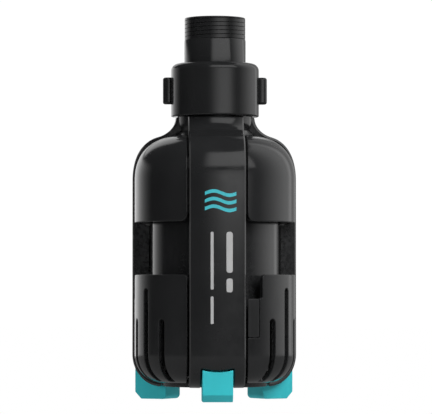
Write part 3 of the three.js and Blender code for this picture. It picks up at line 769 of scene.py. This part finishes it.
def build_frame():
    skin, arm = Skin(), Skin()
    sheet(arm, ARM_LINE, arm_outline(), arm_depth, chamfered(0.75 * MM, 1.05 * MM), square=lambda angle: 1.0)
    for angle in ARMS.values():
        skin.join(arm.turned(angle))
    neck = mm(
        (16.5, 145.9), (18.3, 145.9), (18.9, 146.1), (19.4, 146.6), (19.65, 147.3), (20.5, 150.2),
        (20.8, 151.6), (20.9, 153.0), (20.9, 155.7), (19.4, 155.7),
    )
    threaded_end = mm(
        (19.4, 173.2), (18.7, 174), (18.3, 174), (18.3, 172.2), (15.5, 172.2), (15.5, 174), (14.5, 174),
        (14.5, 155.3), (16.5, 155.3),
    )
    revolved(skin, neck + threaded_end)
    thread(skin, 19.42 * MM, 20.6 * MM, UNION_PITCH, (156.7 * MM, 169.2 * MM), (155.8 * MM, 173.1 * MM))
    skin.piece("outer_frame_fine", "root", "frame_plastic", ["outer_frame"])


def mark_on_arm(name, shapes, material):
    """Thin print on the front arm. Shapes are outlines of (x, height) on the straight part of the arm."""
    skin = Skin()
    thickness = 0.02 * MM
    top = SHOULDER - 1 * MM
    base = ARM_LINE.where(top)
    for shape in shapes:
        outline = [(math.asin(p.x / ARM_RADIUS), base + top - p.y) for p in shape]
        sheet(skin, ARM_LINE, outline, lambda s: thickness, rounded(thickness, 1),
              lift=2 * thickness, cell=0.9 * MM)
    skin.piece(name, "root", "frame_plastic", material=material)


def bar(x, half_width, high_end, low_end):
    """A plain bar with round ends, standing along the arm. All in millimetres."""
    left, right = x - half_width, x + half_width
    box = mm((left, low_end), (right, low_end), (right, high_end), (left, high_end))
    return soft_corners(box, [half_width * 0.9 * MM] * 4)


def wave(middle):
    """A stroke of one and a half sine waves at a height, in millimetres."""
    def edge(x, side):
        return x, middle + 1.15 * math.sin((x + 6.5) / 17 * TURN) + side * 0.95

    return mm(*[edge(x, -1) for x in range(-7, 11)], *[edge(x, 1) for x in range(10, -8, -1)])


def build_marks():
    """A plain wave mark and plain bars in place of any maker's print."""
    mark_on_arm("wave_mark", [wave(112.3 - row * 4.1) for row in range(3)], "print_teal")
    bold = [bar(6.3, 1.7, 91.5, 69.5), bar(6.3, 1.7, 66.5, 59)]
    fine = [bar(-3.1, 0.8, 91.5, 60.5), bar(-3.1, 0.8, 56.8, 42)]
    mark_on_arm("label_bars", bold + fine, "print_light")


# --- Shoulder shell ---

def panel_half_angle(line, s):
    """Half the angle that a panel between two arms spans at an arc length."""
    return TURN / 6 - edge_angle(line, s, GROOVE_HALF)


def panel_side(line, sign):
    """Points down one side of a panel between two arms."""
    steps = 60
    spots = [line.length * i / steps for i in range(steps + 1)]
    return [Vector((sign * panel_half_angle(line, s) * PANEL_RADIUS, s)) for s in spots]


def as_angles(points):
    """Turns distances round a panel into angles."""
    return [(p.x / PANEL_RADIUS, p.y) for p in points]


def shell_depth(s):
    """The shell's rim is thicker than its dome."""
    dome, rim = 2.9 * MM, 4.7 * MM
    share = (s / SHELL_LINE.length - 0.8) * 8
    return dome + (rim - dome) * min(max(share, 0), 1)


def build_shell():
    right, left = panel_side(SHELL_LINE, 1), panel_side(SHELL_LINE, -1)[::-1]
    trim = 9  # side points next to a rounded corner would cut its radius short
    right, left = right[:-1 - trim] + right[-1:], left[:1] + left[1 + trim:]
    radii = [0] * (len(right) - 1) + [4.6 * MM] * 2 + [0] * (len(left) - 1)
    outline = as_angles(soft_corners(right + left, radii))
    skin, panel = Skin(), Skin()
    sheet(panel, SHELL_LINE, outline, shell_depth, rounded(EDGE))
    for angle in ARMS.values():
        skin.join(panel.turned(angle + TURN / 6))

    recess, steps = 4.3 * MM, 24
    dome = []
    for i in range(steps, -1, -1):
        at, _, out = ARM_LINE.at(ARM_LINE.where(SHELL_BOTTOM) * i / steps)
        under = at - out * recess
        if under.x > NECK_SOCKET and under.y > CORNER_GAP_TOP:
            dome.append(under)
    bore = bezier(mm((14.5, 144), (23.5, 141.5), (39.5, 136), (39.5, 118)), 16)
    foot = [Vector((SHELL_BORE, CORNER_GAP_TOP)), Vector((dome[0].x, CORNER_GAP_TOP))]
    revolved(skin, foot + dome[1:] + mm((16.2, 147), (16.2, 155), (14.5, 155)) + bore)
    skin.piece("shoulder_shell_fine", "root", "shell_plastic", ["shoulder_shell"])


# --- Strainer basket ---

def slot_outline(angle, top):
    """A slot with a round upper end that follows its own meridian under the bottom corner."""
    upper = BASKET_LINE.where(top) + SLOT_HALF
    lengths = (BASKET_LINE.length * i / 2000 for i in range(1400, 2001))
    lower = next(s for s in lengths if BASKET_LINE.at(s)[0].x < SLOT_END_RADIUS)
    turns = [math.pi * i / 12 for i in range(13)]
    side = [upper + (lower - upper) * i / 40 for i in range(1, 40)]
    points = [(SLOT_HALF * math.cos(t), upper - SLOT_HALF * math.sin(t)) for t in turns]
    points += [(-SLOT_HALF, s) for s in side]
    points += [(-SLOT_HALF * 0.7, lower), (SLOT_HALF * 0.7, lower)]
    points += [(SLOT_HALF, s) for s in side[::-1]]
    return [(angle + math.asin(x / BASKET_LINE.at(s)[0].x), s) for x, s in points]


def basket_panel():
    """A slotted panel between two arms, with the notch for a tab at its left side."""
    notch_low = BASKET_LINE.where(TAB_TOP + TAB_GAP)
    tab_low = BASKET_LINE.where(TAB_BOTTOM - TAB_GAP)
    right = panel_side(BASKET_LINE, 1)
    left = [p for p in panel_side(BASKET_LINE, -1) if p.y > tab_low + 2 * MM][::-1]
    notch_x = (NOTCH_SIDE - TURN / 6) * PANEL_RADIUS
    tab_x = (TAB_ANGLE - TURN / 6) * PANEL_RADIUS + TAB_HALF_WIDTH + TAB_GAP
    side_x = -panel_half_angle(BASKET_LINE, tab_low) * PANEL_RADIUS
    corners = {
        (side_x, tab_low): 0.7 * MM,
        (tab_x, tab_low): 0.5 * MM,
        (tab_x, notch_low): 0.7 * MM,
        (notch_x, notch_low): 0.8 * MM,
        (notch_x, 0): 2.4 * MM,
        tuple(right[0]): 2.8 * MM,
    }
    trim = 7  # leaves room for the rounded corner
    sides = right[trim:] + left
    outline = soft_corners([Vector(p) for p in corners] + sides, [*corners.values()] + [0] * len(sides))
    holes = [slot_outline(-SLOT_SPACING, SLOT_SHORT_TOP), slot_outline(0, SLOT_TALL_TOP),
             slot_outline(SLOT_SPACING, SLOT_SHORT_TOP)]
    panel = Skin()
    sheet(panel, BASKET_LINE, as_angles(outline), lambda s: PANEL_THICKNESS, rounded(EDGE), holes,
          cell=1.35 * MM)
    return panel


def build_basket():
    skin, panel = Skin(), basket_panel()
    for angle in ARMS.values():
        skin.join(panel.turned(angle + TURN / 6))
    skin.add_bmesh(prism(floor_outline(), "z", BASKET_FLOOR, BASKET_FLOOR_TOP, 0.5 * MM))
    skin.piece("strainer_basket_fine", "basket", "basket_plastic", ["strainer_basket"])


def floor_outline():
    """The basket's floor: a disc with a flat edge towards each foot."""
    radius, steps = BASKET_FLOOR_RADIUS + 0.45 * MM, 24
    reach = math.acos(BASKET_FLOOR_EDGE / radius)
    span = TURN / 3 - 2 * reach
    turns = [arm * TURN / 3 + reach + span * i / steps for arm in range(3) for i in range(steps + 1)]
    return [polar(radius, t, 0).xy for t in turns]


def build_tabs():
    start = edge_angle(TAB_LINE, 0, GROOVE_HALF + 0.02 * MM)
    end = TAB_ANGLE + math.asin(TAB_HALF_WIDTH / PANEL_RADIUS)
    left, right, length = start * PANEL_RADIUS, end * PANEL_RADIUS, TAB_LINE.length
    box = [Vector(p) for p in ((left, 0), (right, 0), (right, length), (left, length))]
    tab = Skin()
    outline = as_angles(soft_corners(box, [0.9 * MM] * 4))
    sheet(tab, TAB_LINE, outline, lambda s: TAB_DEPTH, rounded(0.45 * MM),
          square=lambda angle: min(max((end - angle) / (end - start), 0), 1), cell=1.0 * MM)
    for side, angle in ARMS.items():
        name = "latch_tab_" + side
        tab.turned(angle).piece(name + "_fine", "latch_" + side, "latch_plastic", [name])


# --- Feet ---

def pad_section(x):
    """Side view of a foot's pad as (outward, height), at a distance x from its middle plane."""
    inner, outer, steps = 2.5 * MM, 3.8 * MM, 8
    top = FOOT_TOP - FOOT_DIP * (1 - (x / FOOT_HALF_WIDTH) ** 2)
    ledge, shelf = 36.5 * MM, 11.9 * MM
    turns = [math.pi + math.pi / 2 * i / steps for i in range(steps + 1)]
    arc = [(FOOT_INNER + inner * (1 + math.cos(t)), inner * (1 + math.sin(t))) for t in turns]
    return arc + [(FOOT_OUTER - outer, 0), (FOOT_OUTER, outer),
                  (FOOT_OUTER, top), (ledge, top), (ledge, shelf), (FOOT_INNER, shelf)]


def foot_pad():
    """A bmesh of the pad under an arm, as sections side by side."""
    columns = 12
    mesh = bmesh.new()
    rows = []
    for i in range(columns + 1):
        x = FOOT_HALF_WIDTH * (2 * i / columns - 1)
        rows.append([mesh.verts.new((x, -out, height)) for out, height in pad_section(x)])
    mesh.faces.new(rows[0])
    mesh.faces.new(rows[-1][::-1])
    for a, b in zip(rows, rows[1:]):
        for i in range(len(a)):
            j = (i + 1) % len(a)
            mesh.faces.new((a[j], a[i], b[i], b[j]))
    return soften(mesh, 0.45 * MM)


def build_feet():
    for side, angle in ARMS.items():
        foot = Skin()
        foot.add_bmesh(foot_pad())
        tongue = mm((-40.6, 15.2), (-37.6, 15.2), (-37.6, 24.5), (-40.6, 24.5))
        foot.add_bmesh(prism(tongue, "x", -6 * MM, 6 * MM, 0.4 * MM))
        name = "foot_" + side
        foot.turned(angle).piece(name + "_fine", "root", "foot_rubber", [name])


# --- Motor can and cap ---

def round_corner(centre, radius, steps):
    """Points of a quarter circle from straight out to straight up of its centre."""
    turns = (math.pi / 2 * i / steps for i in range(steps + 1))
    return [Vector((centre[0] + radius * math.cos(t), centre[1] + radius * math.sin(t))) for t in turns]


def build_can():
    r, rim = CAN_RADIUS, 2 * MM
    bore, mouth = 33.1 * MM, 15.5 * MM
    skin, post = Skin(), Skin()
    revolved(skin, [
        (bore, CAN_BOTTOM), (r - 0.3 * MM, CAN_BOTTOM), (r, CAN_BOTTOM + 0.3 * MM),
        *round_corner((r - rim, CAN_TOP - rim), rim, 6),
        (mouth, CAN_TOP), (mouth, CAN_TOP - 3 * MM), (bore, CAN_TOP - 3 * MM),
    ])
    thick, place = 3 * MM, 31 * MM
    root, top = CAN_TOP - 1 * MM, low("suction_ring").z - 0.3 * MM
    mesh = bmesh.new()
    bmesh.ops.create_cone(mesh, cap_ends=True, segments=32, radius1=thick, radius2=thick, depth=top - root)
    bmesh.ops.translate(mesh, verts=mesh.verts, vec=(0, -place, (top + root) / 2))
    post.add_bmesh(mesh)
    for angle in ARMS.values():
        skin.join(post.turned(angle))
    skin.piece("motor_can_fine", "root", "can_plastic", ["motor_can"])

    cap, hole = Skin(), 0.5 * MM
    revolved(cap, [
        (hole, CAP_BOTTOM), (r - 2.8 * MM, CAP_BOTTOM), (r - 1.2 * MM, CAP_BOTTOM + 0.35 * MM),
        (r, CAP_BOTTOM + 1.3 * MM), (r, CAP_TOP), (hole, CAP_TOP),
    ])
    cap.piece("base_cap_fine", "root", "can_plastic", ["base_cap"])


# --- Union and outlet ---

def build_nut():
    r, crown = NUT_RADIUS, 3.9 * MM
    groove = 21.1 * MM
    skin, ear = Skin(), Skin()
    revolved(skin, [
        (NUT_BORE + 0.9 * MM, NUT_BOTTOM), (r - 0.5 * MM, NUT_BOTTOM),
        (r - 0.15 * MM, NUT_BOTTOM + 0.15 * MM), (r, NUT_BOTTOM + 0.5 * MM),
        (r, NUT_BOTTOM + 0.9 * MM), (r, NUT_TOP - crown - 0.4 * MM),
        *round_corner((r - crown, NUT_TOP - crown), crown, 12),
        (NUT_HOLE + 0.4 * MM, NUT_TOP), (NUT_HOLE, NUT_TOP - 0.4 * MM), (NUT_HOLE, NUT_CAVITY_TOP),
        (groove, NUT_CAVITY_TOP), (groove, NUT_BOTTOM + 1 * MM),
    ])
    thread(skin, groove - 0.15 * MM, NUT_BORE, UNION_PITCH, (156.6 * MM, 178 * MM),
           (NUT_BOTTOM + 0.3 * MM, NUT_CAVITY_TOP), flip=-1)
    turns = (TURN * i / 40 for i in range(40))
    middle = EAR_REACH - EAR_WIDTH / 2
    oval = [(middle + EAR_WIDTH / 2 * math.cos(t), EAR_THICKNESS / 2 * math.sin(t)) for t in turns]
    ear.add_bmesh(prism(oval, "z", EAR_BOTTOM, EAR_TOP, 1.3 * MM, 5))
    skin.join(ear)
    skin.join(ear.turned(math.pi))
    skin.piece("union_nut_fine", "union_nut", "nut_plastic", ["union_nut"])


def build_nozzle():
    root, crest, r = 16.2 * MM, 16.8 * MM, NOZZLE_RADIUS
    core = root - 0.1 * MM  # plain wall just inside the thread's grooves
    relief = 198.4 * MM
    bevel = 0.35 * MM
    skin = Skin()
    revolved(skin, [
        (NOZZLE_BORE, NOZZLE_BOTTOM), (NOZZLE_FLANGE, NOZZLE_BOTTOM), (NOZZLE_FLANGE, NOZZLE_FLANGE_TOP),
        (r, NOZZLE_FLANGE_TOP), (r, relief - 0.3 * MM), (crest, relief), (core, relief + 0.1 * MM),
        (core, NOZZLE_TOP), (NOZZLE_BORE + bevel, NOZZLE_TOP), (NOZZLE_BORE, NOZZLE_TOP - bevel),
    ])
    ring, normals = thread(
        skin, root, crest, PIPE_PITCH, (relief - PIPE_PITCH, NOZZLE_TOP + PIPE_PITCH),
        (relief + 0.05 * MM, NOZZLE_TOP - 0.3 * MM), columns=144, flank=0.07, flat=0.1, rows_per_turn=36,
    )
    cap_ring(skin, ring, normals, core, NOZZLE_TOP)
    skin.piece("outlet_nozzle_fine", "root", "nozzle_plastic", ["outlet_nozzle"])


# --- Cable gland ---

def along_y(skin):
    """Turns a skin drawn along Z so that it points along +Y, and lifts it to the gland's height."""
    turn = Matrix.Rotation(-math.pi / 2, 3, "X")
    lift = Vector((0, 0, GLAND_HEIGHT))
    skin.points = [turn @ p + lift for p in skin.points]
    skin.normals = [turn @ n for n in skin.normals]
    return skin


def build_gland():
    body, nut = Skin(), Skin()
    facets = 64
    revolved(body, mm(
        (3.4, 31), (4.5, 31), (4.5, 36), (7.6, 36), (8, 36.3), (8, 38.1), (7.6, 38.5), (5.5, 38.5),
        (5.5, 43), (3.4, 43),
    ), facets)
    along_y(body).piece("cable_gland_body_fine", "root", "can_plastic", ["cable_gland_body"])
    hexagon = [polar(8.2 * MM, TURN * i / 6, 0).xy for i in range(6)]
    nut.add_bmesh(prism(hexagon, "z", 38.8 * MM, 44.6 * MM, 0.4 * MM))
    revolved(nut, mm(
        (3.4, 44), (6.9, 44), (6.6, 45.2), (5.8, 45.8), (4.6, 46), (3.8, 46), (3.4, 45.6),
    ), facets)
    along_y(nut).piece("cable_gland_nut_fine", "root", "can_plastic", ["cable_gland_nut"])


# --- Studio ---

MIDDLE = Vector((0, 0, 90 * MM))  # what the cards and lamps stand round
CAMERA_DISTANCE = 1602 * MM
CAMERA_HEIGHT = 57.6 * MM
CAMERA_AZIMUTH = math.radians(-2)
AIM_HEIGHT = 106.2 * MM
AIM_RIGHT = 0.6 * MM
ROOM = 9  # radius of the floor and of the backdrop, in metres
FLOOR_GLOW = 0.6  # radius of the floor that lights the pump from below, in metres
FOCAL_LENGTH = 241.7  # for the usual 36 mm sensor


def build_camera():
    data = bpy.data.cameras.new("camera")
    data.lens = FOCAL_LENGTH
    data.clip_start, data.clip_end = 0.05, 60
    camera = placed("camera", data)
    camera.location = polar(CAMERA_DISTANCE, CAMERA_AZIMUTH, CAMERA_HEIGHT)
    aim = polar(AIM_RIGHT, CAMERA_AZIMUTH + TURN / 4, AIM_HEIGHT)
    camera.rotation_mode = "QUATERNION"
    camera.rotation_quaternion = (aim - camera.location).to_track_quat("-Z", "Y")
    bpy.context.scene.camera = camera


def emitter(name, strength):
    """A white glowing material."""
    material = bpy.data.materials.new(name)
    material.use_nodes = True
    tree = material.node_tree
    tree.nodes.clear()
    glow = tree.nodes.new("ShaderNodeEmission")
    glow.inputs["Strength"].default_value = strength
    glow.inputs["Color"].default_value = (1, 1, 1, 1)
    out = tree.nodes.new("ShaderNodeOutputMaterial")
    tree.links.new(glow.outputs["Emission"], out.inputs["Surface"])
    return material


def clear_from_below(material):
    """Makes a floor's underside clear, so that the object can be seen from under it."""
    tree = material.node_tree
    shine = next(n for n in tree.nodes if n.type == "EMISSION")
    output = next(n for n in tree.nodes if n.type == "OUTPUT_MATERIAL")
    side = tree.nodes.new("ShaderNodeNewGeometry")
    clear = tree.nodes.new("ShaderNodeBsdfTransparent")
    chosen = tree.nodes.new("ShaderNodeMixShader")
    tree.links.new(side.outputs["Backfacing"], chosen.inputs["Fac"])
    tree.links.new(shine.outputs["Emission"], chosen.inputs[1])
    tree.links.new(clear.outputs["BSDF"], chosen.inputs[2])
    tree.links.new(chosen.outputs["Shader"], output.inputs["Surface"])
    return material


def between(stops, at):
    """Reads a list of (position, value) stops, straight between them."""
    for (p, v), (q, w) in zip(stops, stops[1:]):
        if at <= q:
            return v + (w - v) * max(0.0, (at - p) / (q - p))
    return stops[-1][1]


def ray(azimuth, elevation):
    """The direction to a place round the pump, in degrees, 0 on the camera's side and rising to its right."""
    e = math.radians(elevation)
    return polar(math.cos(e), CAMERA_AZIMUTH + math.radians(azimuth), math.sin(e))


def card(name, around, upward, distance):
    """A curved reflecting card round the pump, seen only in reflections.

    around holds (azimuth, radiance) stops and upward holds (elevation, factor) stops.
    """
    across, up = 96, 24
    points, glows = [], []
    for j in range(up + 1):
        elevation = upward[0][0] + (upward[-1][0] - upward[0][0]) * j / up
        for i in range(across + 1):
            azimuth = around[0][0] + (around[-1][0] - around[0][0]) * i / across
            points.append(MIDDLE + ray(azimuth, elevation) * distance)
            glows.append(between(around, azimuth) * between(upward, elevation))
    row = across + 1
    corners = [j * row + i for j in range(up) for i in range(across)]
    mesh = bpy.data.meshes.new(name)
    mesh.from_pydata(points, [], [(k, k + 1, k + 1 + row, k + row) for k in corners])
    mesh.attributes.new("glow", "FLOAT", "POINT").data.foreach_set("value", glows)
    material = emitter(name, 1.0)
    tree = material.node_tree
    glow = tree.nodes.new("ShaderNodeAttribute")
    glow.attribute_name = "glow"
    shine = next(n for n in tree.nodes if n.type == "EMISSION")
    tree.links.new(glow.outputs["Fac"], shine.inputs["Strength"])
    mesh.materials.append(material)
    stage(placed(name, mesh), glossy=True)


def lamp(name, azimuth, elevation, distance, size, power):
    """A soft lamp that lights surfaces but isn't mirrored in them."""
    data = bpy.data.lights.new(name, "AREA")
    data.shape = "DISK"
    data.size = size
    data.energy = power
    obj = placed(name, data)
    towards = ray(azimuth, elevation)
    obj.location = MIDDLE + towards * distance
    obj.rotation_mode = "QUATERNION"
    obj.rotation_quaternion = (-towards).to_track_quat("-Z", "Y")
    obj.visible_glossy = False


def stage(obj, camera=False, glossy=False, diffuse=False):
    """Says which rays a piece of the set shows to. It throws no shadow."""
    obj.visible_camera = camera
    obj.visible_glossy = glossy
    obj.visible_diffuse = diffuse
    obj.visible_shadow = False


def disc(name, radius, height, material):
    mesh = bmesh.new()
    bmesh.ops.create_circle(mesh, cap_ends=True, segments=96, radius=radius)
    bmesh.ops.translate(mesh, verts=mesh.verts, vec=(0, 0, height))
    return staged_mesh(name, mesh, material)


def staged_mesh(name, mesh, material):
    """An object made of a bmesh."""
    data = bpy.data.meshes.new(name)
    mesh.to_mesh(data)
    mesh.free()
    data.materials.append(material)
    return placed(name, data)


def build_studio():
    # Without shadows the floor's height doesn't show, so it lies where the drawn-out basket clears it.
    floor_height = BASKET_FLOOR - BASKET_DRAW - 1 * MM
    stage(disc("floor", ROOM, floor_height, clear_from_below(emitter("floor_seen", 1.0))), camera=True)
    stage(disc("floor_shine", FLOOR_GLOW, 0, emitter("floor_shine", 0.25)), glossy=True)
    stage(disc("floor_bounce", FLOOR_GLOW, 0, emitter("floor_bounce", 0.7)), diffuse=True)
    dome = bmesh.new()
    bmesh.ops.create_uvsphere(dome, u_segments=48, v_segments=24, radius=ROOM)
    stage(staged_mesh("backdrop", dome, emitter("backdrop", 1.02)), camera=True)

    world = bpy.data.worlds.new("studio")
    world.use_nodes = True
    world.node_tree.nodes["Background"].inputs["Color"].default_value = (0.012, 0.012, 0.013, 1)
    bpy.context.scene.world = world
    bpy.context.scene.view_settings.view_transform = "Standard"

    card("front_card", [(-20, 0), (-10, 0.25), (-1, 0.75), (7, 1.25), (15, 1.7), (32, 1.75), (40, 1.35),
                        (48, 0.6), (58, 0.1)], [(0.9, 0), (1.9, 1), (3, 1), (6, 0.62), (12.5, 0.6)], 2.6)
    card("upper_card", [(-18, 0), (-13, 0.5), (-7, 1.2), (0, 1.4), (62, 1.4)],
         [(19, 0.8), (21, 1), (52, 1)], 2.4)
    card("right_card", [(58, 0.1), (66, 0.12), (72, 0.28), (80, 0.5), (94, 0.85), (104, 1.0), (118, 1.0),
                        (128, 0.8), (137, 1.1), (146, 0.35), (180, 0.4)], [(-4, 1), (60, 1)], 2.5)
    card("left_card", [(180, 1.1), (214, 1.35), (229, 0.82), (241, 0.41), (250, 0.16), (257, 0)],
         [(-4, 1), (14, 1), (20, 0)], 2.5)
    card("back_card", [(165, 0), (172, 1.0), (212, 1.0), (220, 0)], [(17, 0), (20, 1), (48, 1), (52, 0)], 2.3)
    lamp("key", 35, 32, 2.2, 1.4, 48)
    lamp("top", 0, 84, 2.2, 2.2, 32)
    lamp("fill", -60, 15, 2.4, 1.2, 16)
    lamp("back_right", 150, 28, 2.4, 1.4, 34)
    lamp("back_left", 215, 28, 2.4, 1.4, 34)


build_camera()
build_studio()
make_materials()
finish_cad_nodes()
build_frame()
build_marks()
build_shell()
build_basket()
build_tabs()
build_feet()
build_can()
build_nut()
build_nozzle()
build_gland()
